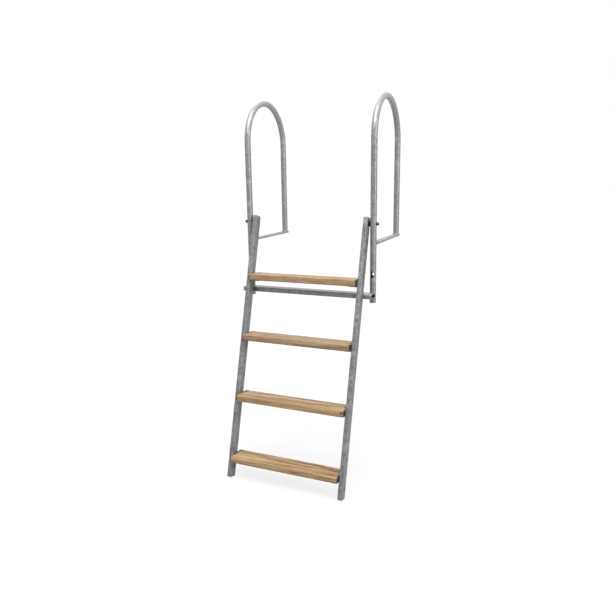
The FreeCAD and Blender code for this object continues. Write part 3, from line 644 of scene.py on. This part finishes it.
def threaded_bolt_tree():
    """Dome-headed bolt along Z: its seat at 0, the dome above it, plain shank and rolled thread below."""
    tree, size = new_tree("threaded_bolt", {
        "Float": ["Diameter", "Length", "Pitch", "Thread Length", "Head Width", "Head Height", "Rim Height"],
        "Vector": ["Place", "Turn"],
        "Material": ["Material"]})
    # the core lies 0.55 of a pitch below the outside; the ridge wound round it is 0.42 of a pitch in radius
    outside = add(tree, "ShaderNodeMath", {0: size["Diameter"], 1: 0.5}, operation="MULTIPLY").outputs[0]
    core = add(tree, "ShaderNodeMath", {0: size["Pitch"], 1: -0.55, 2: outside},
               operation="MULTIPLY_ADD").outputs[0]
    crest = add(tree, "ShaderNodeMath", {0: size["Pitch"], 1: 0.42}, operation="MULTIPLY").outputs[0]
    mean = add(tree, "ShaderNodeMath", {0: outside, 1: crest}, operation="SUBTRACT").outputs[0]
    plain = add(tree, "ShaderNodeMath", {0: size["Length"], 1: size["Thread Length"]},
                operation="SUBTRACT").outputs[0]

    def hanging_bar(radius, length):
        """Round bar from the seat down."""
        bar = add(tree, "GeometryNodeMeshCylinder",
                  {"Vertices": 40, "Radius": radius, "Depth": length}).outputs[0]
        middle = add(tree, "ShaderNodeMath", {0: length, 1: -0.5}, operation="MULTIPLY").outputs[0]
        at = add(tree, "ShaderNodeCombineXYZ", {"Z": middle}).outputs[0]
        return add(tree, "GeometryNodeTransform", {"Geometry": bar, "Translation": at}).outputs[0]

    # thread: one helix from the plain shank to a pitch short of the tip
    threaded = add(tree, "ShaderNodeMath", {0: size["Thread Length"], 1: size["Pitch"]},
                   operation="SUBTRACT").outputs[0]
    turns = add(tree, "ShaderNodeMath", {0: threaded, 1: size["Pitch"]}, operation="DIVIDE").outputs[0]
    helix = add(tree, "GeometryNodeCurveSpiral",
                {"Resolution": 28, "Rotations": turns, "Start Radius": mean, "End Radius": mean,
                 "Height": threaded}).outputs[0]
    ridge = add(tree, "GeometryNodeCurvePrimitiveCircle", {"Resolution": 6, "Radius": crest}).outputs[0]
    thread = add(tree, "GeometryNodeCurveToMesh",
                 {"Curve": helix, "Profile Curve": ridge, "Fill Caps": True}).outputs[0]
    drop = add(tree, "ShaderNodeMath", {0: size["Length"], 1: -1.0, 2: size["Pitch"]},
               operation="MULTIPLY_ADD").outputs[0]
    thread_at = add(tree, "ShaderNodeCombineXYZ", {"Z": drop}).outputs[0]
    thread_placed = add(tree, "GeometryNodeTransform",
                        {"Geometry": thread, "Translation": thread_at}).outputs[0]
    # head: a round blank with a short rim, its top raised to the face of a large ball
    half_width = add(tree, "ShaderNodeMath", {0: size["Head Width"], 1: 0.5},
                     operation="MULTIPLY").outputs[0]
    half_squared = add(tree, "ShaderNodeMath", {0: half_width, 1: half_width},
                       operation="MULTIPLY").outputs[0]
    rise = add(tree, "ShaderNodeMath", {0: size["Head Height"], 1: size["Rim Height"]},
               operation="SUBTRACT").outputs[0]
    both_squared = add(tree, "ShaderNodeMath", {0: rise, 1: rise, 2: half_squared},
                       operation="MULTIPLY_ADD").outputs[0]
    twice_rise = add(tree, "ShaderNodeMath", {0: rise, 1: 2.0}, operation="MULTIPLY").outputs[0]
    ball = add(tree, "ShaderNodeMath", {0: both_squared, 1: twice_rise}, operation="DIVIDE").outputs[0]
    blank = add(tree, "GeometryNodeMeshCylinder",
                {"Vertices": 72, "Fill Segments": 9, "Radius": half_width, "Depth": size["Rim Height"]},
                fill_type="TRIANGLE_FAN").outputs[0]
    position = add(tree, "GeometryNodeInputPosition").outputs[0]
    apart = add(tree, "ShaderNodeSeparateXYZ", {"Vector": position}).outputs
    flat = add(tree, "ShaderNodeVectorMath", {0: position, 1: (1.0, 1.0, 0.0)},
               operation="MULTIPLY").outputs[0]
    from_axis = add(tree, "ShaderNodeVectorMath", {0: flat}, operation="LENGTH").outputs["Value"]
    squared = add(tree, "ShaderNodeMath", {0: from_axis, 1: from_axis}, operation="MULTIPLY").outputs[0]
    ball_squared = add(tree, "ShaderNodeMath", {0: ball, 1: ball}, operation="MULTIPLY").outputs[0]
    left_over = add(tree, "ShaderNodeMath", {0: ball_squared, 1: squared}, operation="SUBTRACT").outputs[0]
    height = add(tree, "ShaderNodeMath", {0: left_over}, operation="SQRT").outputs[0]
    ball_at_rim = add(tree, "ShaderNodeMath", {0: ball, 1: rise}, operation="SUBTRACT").outputs[0]
    above_rim = add(tree, "ShaderNodeMath", {0: height, 1: ball_at_rim}, operation="SUBTRACT").outputs[0]
    lift = add(tree, "ShaderNodeCombineXYZ", {"Z": above_rim}).outputs[0]
    on_top = add(tree, "ShaderNodeMath", {0: apart["Z"], 1: 0.0}, operation="GREATER_THAN").outputs[0]
    domed = add(tree, "GeometryNodeSetPosition",
                {"Geometry": blank, "Selection": on_top, "Offset": lift}).outputs[0]
    half_rim = add(tree, "ShaderNodeMath", {0: size["Rim Height"], 1: 0.5}, operation="MULTIPLY").outputs[0]
    head_at = add(tree, "ShaderNodeCombineXYZ", {"Z": half_rim}).outputs[0]
    head_placed = add(tree, "GeometryNodeTransform", {"Geometry": domed, "Translation": head_at}).outputs[0]
    bolt = add(tree, "GeometryNodeJoinGeometry")
    for part in (hanging_bar(core, size["Length"]), hanging_bar(outside, plain), thread_placed, head_placed):
        tree.links.new(part, bolt.inputs[0])
    placed = add(tree, "GeometryNodeTransform",
                 {"Geometry": bolt.outputs[0], "Translation": size["Place"],
                  "Rotation": size["Turn"]}).outputs[0]
    end_tree(tree, placed, size["Material"])
    return tree


def zinc_drip_tree():
    """Beads of zinc that froze along a lower edge as the piece left the bath."""
    tree, size = new_tree("zinc_drips", {
        "Object": ["Path"], "Float": ["Spacing", "Smallest", "Largest"], "Int": ["Seed"],
        "Material": ["Material"]})
    edge = add(tree, "GeometryNodeObjectInfo", {"Object": size["Path"]},
               transform_space="ORIGINAL").outputs["Geometry"]
    points = add(tree, "GeometryNodeCurveToPoints", {"Curve": edge, "Length": size["Spacing"]},
                 mode="LENGTH").outputs[0]
    stray = 4 * MM
    shift = add(tree, "FunctionNodeRandomValue", {0: (-stray, 0, 0), 1: (stray, 0, 0), "Seed": size["Seed"]},
                data_type="FLOAT_VECTOR").outputs[0]
    scattered = add(tree, "GeometryNodeSetPosition", {"Geometry": points, "Offset": shift}).outputs[0]
    radius = add(tree, "FunctionNodeRandomValue",
                 {2: size["Smallest"], 3: size["Largest"], "Seed": size["Seed"]},
                 data_type="FLOAT").outputs[1]
    hang = add(tree, "ShaderNodeMath", {0: radius, 1: 1.25}, operation="MULTIPLY").outputs[0]
    shape = add(tree, "ShaderNodeCombineXYZ", {"X": radius, "Y": radius, "Z": hang}).outputs[0]
    drop = add(tree, "GeometryNodeMeshUVSphere", {"Segments": 12, "Rings": 8, "Radius": 1.0}).outputs[0]
    drops = add(tree, "GeometryNodeInstanceOnPoints",
                {"Points": scattered, "Instance": drop, "Scale": shape}).outputs[0]
    end_tree(tree, drops, size["Material"])
    return tree


# Paths for beads and drips

def path_object(name, runs):
    """Curve object of straight-sided runs; a run is (points, closed)."""
    curve = bpy.data.curves.new(name, "CURVE")
    curve.dimensions = "3D"
    for points, closed in runs:
        spline = curve.splines.new("POLY")
        spline.points.add(len(points) - 1)
        for spot, point in zip(spline.points, points):
            spot.co = (*point, 1.0)
        spline.use_cyclic_u = closed
    path = bpy.data.objects.new(name, curve)
    bpy.context.collection.objects.link(path)
    return path


def on_side(side, x, y, z):
    """Point given for the left side, or its mirror on the right."""
    return (x if side == "left" else RAIL_SPACING - x, y, z)


def from_tread_middle(number, y, z):
    """Place in the ladder of a point given from a tread's middle, as if the tread weren't tipped back."""
    low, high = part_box("tread_%d" % number)
    turned = Matrix.Rotation(-TREAD_TIP, 3, "X") @ Vector((0, y, z))
    return (low.y + high.y) / 2 + turned.y, (low.z + high.z) / 2 + turned.z


def frame_weld_runs(side):
    """Paths of one side's beads: round the short leg, behind the long leg, and down the crossbar's back."""
    throat = TUBE_RADIUS + 1.2 * MM
    bar_reach = 12.2 * MM  # the beads stay within the flat bar's width
    level = FOOT_TOP + 1.1 * MM

    def beside(leg_y, degrees):
        """Point of a ring round a leg, drawn in where the ring would overhang the flat bar."""
        angle = math.radians(degrees)
        x = max(-bar_reach, min(bar_reach, throat * math.cos(angle)))
        return on_side(side, x, leg_y + min(throat * math.sin(angle), bar_reach + abs(leg_y)), level)

    collar = [beside(0, step * 10) for step in range(36)]
    behind = [beside(LONG_LEG_Y, step * 10) for step in range(1, 18)]
    runs = [(collar, True), (behind, False)]
    heights = [BAR_MIDDLE_Z + z * MM for z in (-6.5, -3, 0, 3, 6.5)]
    for x in (-8.4 * MM, 8.4 * MM):
        runs.append(([on_side(side, x, BAR_BACK_Y + 1.3 * MM, z) for z in heights], False))
    return runs


def lug_weld_runs(side):
    """Paths of the beads under one side's tread lugs, against the stringer."""
    runs = []
    below = TREAD_THICKNESS / 2 + LUG_THICKNESS + 0.6 * MM
    for number in range(1, 5):
        places = [from_tread_middle(number, y * MM - LUG_SET_FORWARD, -below) for y in (-13, -6, 0, 6, 13)]
        points = [on_side(side, STRINGER_INNER_X + 0.8 * MM, y, z) for y, z in places]
        runs.append((points, False))
    return runs


def leg_rim(side):
    """Lower rim of a long leg."""
    ring = TUBE_RADIUS - 1 * MM
    angles = [math.radians(20 * step) for step in range(18)]
    points = [on_side(side, ring * math.cos(a), LONG_LEG_Y + ring * math.sin(a), LEG_BOTTOM) for a in angles]
    return (points, True)


# Putting it together

def ride_as(piece, body, slot, *nodes):
    """Let a piece ride on a body in place of the CAD nodes named; the slot argument is not used."""
    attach(piece, body)
    if nodes:
        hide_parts(*nodes)


def finish_node(name, material):
    """Give a CAD node its material."""
    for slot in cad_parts[name].material_slots:
        slot.material = material


def lay_treads(wood):
    """Four boards, each sawn from another place in the log."""
    tree = tread_board_tree()
    # from the top tread down: place in the log, and shares of greying, of sapwood and of bold figure
    boards = [((0.1, 0.022, 0.034), 0.4, 0.15, 0.4), ((1.3, -0.030, 0.026), 0.6, 0.1, 0.4),
              ((4.6, 0.012, -0.040), 0.25, 0.5, 0.75), ((5.7, 0.034, -0.022), 0.12, 0.7, 0.88)]
    for number, (sawn_at, greyed, sapwood, figure) in enumerate(boards, start=1):
        low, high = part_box("tread_%d" % number)
        board = grow("tread_board_%d" % number, tree, {
            "Length": high.x - low.x, "Depth": TREAD_DEPTH, "Thickness": TREAD_THICKNESS,
            "Edge Radius": TREAD_EDGE, "End Ease": 0.5 * MM, "Wear": 0.9 * MM, "Seed": number * 3.7,
            "Place": (low + high) / 2, "Turn": (-TREAD_TIP, 0, 0), "Sawn At": sawn_at, "Greyed": greyed,
            "Sapwood": sapwood, "Figure": figure, "Material": wood})
        ride_as(board, "ladder", "tread_wood", "tread_%d" % number)


def lay_weld_beads(zinc):
    """Beads at the feet and the crossbar, and under the tread lugs."""
    tree = weld_bead_tree()
    for side in ("left", "right"):
        beads = grow_along(frame_weld_runs(side), side + "_frame_weld_beads", tree, {
            "Bead Radius": 2.5 * MM, "Ripple": 2.4 * MM, "Seed": 1.7, "Material": zinc})
        ride_as(beads, "frame", "weld_zinc", side + "_welds")
        beads = grow_along(lug_weld_runs(side), side + "_lug_weld_beads", tree, {
            "Bead Radius": 2.0 * MM, "Ripple": 2.1 * MM, "Seed": 5.1, "Material": zinc})
        ride_as(beads, "ladder", "lug_zinc")


def fit_hinge_bolts(steel):
    """One bolt a side, its dome towards the middle of the ladder."""
    tree = threaded_bolt_tree()
    for side, turn in (("left", math.radians(90)), ("right", math.radians(-90))):
        place = on_side(side, BOLT_HEAD_SEAT_X, LONG_LEG_Y, HINGE_Z)
        bolt = grow(side + "_threaded_hinge_bolt", tree, {
            "Diameter": BOLT_DIAMETER, "Length": BOLT_LENGTH, "Pitch": 1.25 * MM, "Thread Length": 22 * MM,
            "Head Width": DOME_WIDTH, "Head Height": DOME_HEIGHT, "Rim Height": DOME_RIM, "Place": place,
            "Turn": (0, turn, 0), "Material": steel})
        ride_as(bolt, "frame", "bolt_steel", side + "_hinge_bolt")


def leave_zinc_drips(zinc):
    """Drips under the crossbar's front and round the long legs' lower rims."""
    tree = zinc_drip_tree()
    front_low = [(x, BAR_FRONT_Y + 4 * MM, BAR_MIDDLE_Z - 9.6 * MM) for x in (0, RAIL_SPACING)]
    runs = [(front_low, False), leg_rim("left"), leg_rim("right")]
    drips = grow_along(runs, "frame_zinc_drips", tree, {
        "Spacing": 13 * MM, "Smallest": 0.5 * MM, "Largest": 1.5 * MM, "Seed": 4, "Material": zinc})
    ride_as(drips, "frame", "handrail_zinc")


def dress_ladder():
    """Finish every CAD node, then lay on what is made here."""
    # the handrail tube is painted lighter over its loop tops, as painted light
    rail_zinc = galvanised_steel("galvanised_handrail_tube", "767678", "8C8C8D", "A2A2A2", 1, lumps=0.5,
                                 sheen=(0.27, 0.43), metal=0.4, painted_light_above=(440 * MM, 130 * MM, 0.45, "C9C9CB"))
    foot_zinc = galvanised_steel("galvanised_flat_bar", "8A8A8C", "A0A0A2", "B4B4B6", 2)
    # the crossbar's top face is painted lighter, as a painted reflection; painted shade darkens its hollows
    bar_zinc = galvanised_steel("galvanised_crossbar_tube", "707074", "88888C", "A0A0A3", 3, lumps=0.5,
                                sheen=(0.24, 0.38), metal=0.5,
                                painted_light_above=(BAR_MIDDLE_Z + 9.0 * MM, 0.7 * MM, 0.55, "BCBCBE"),
                                painted_shade_inside=0.95)
    # the stringer's hollows, as inside the tube, get painted shade
    stringer_zinc = galvanised_steel("galvanised_stringer_tube", "67676B", "86868A", "A6A6A9", 4,
                                     painted_shade_inside=0.95)
    weld_zinc = galvanised_steel("galvanised_weld", "808082", "97979A", "B2B2B4", 5, lumps=1.4)
    lug_zinc = galvanised_steel("galvanised_lug", "88888A", "9E9EA0", "B4B4B6", 6)
    wood = planed_softwood("planed_softwood")
    bolt_steel = weathered_bolt_steel("weathered_bolt_steel", "605F5E", "858483", "6A5646")
    nut_steel = weathered_bolt_steel("weathered_nut_steel", "2A2826", "474542", "3E3026")
    washer_steel = weathered_bolt_steel("weathered_washer_steel", "161413", "262320", "2A1C14")
    screw_steel = weathered_bolt_steel("weathered_screw_steel", "6E6C68", "8E8B86", "6B4A34")
    nylon = black_nylon("black_nylon_bush")
    finishes = {"handrail": rail_zinc, "deck_foot": foot_zinc, "welds": weld_zinc, "stringer": stringer_zinc,
                "tread_lugs": lug_zinc, "tread_screws": screw_steel, "hinge_bolt": bolt_steel,
                "hinge_nut": nut_steel, "hinge_washer": washer_steel, "hinge_spacer": nylon}
    for side in ("left", "right"):
        for piece, finish in finishes.items():
            finish_node(side + "_" + piece, finish)
    finish_node("crossbar", bar_zinc)
    for number in range(1, 5):
        finish_node("tread_%d" % number, wood)
    lay_treads(wood)
    lay_weld_beads(weld_zinc)
    fit_hinge_bolts(bolt_steel)
    leave_zinc_drips(weld_zinc)


set_camera()
light_the_studio()
dress_ladder()
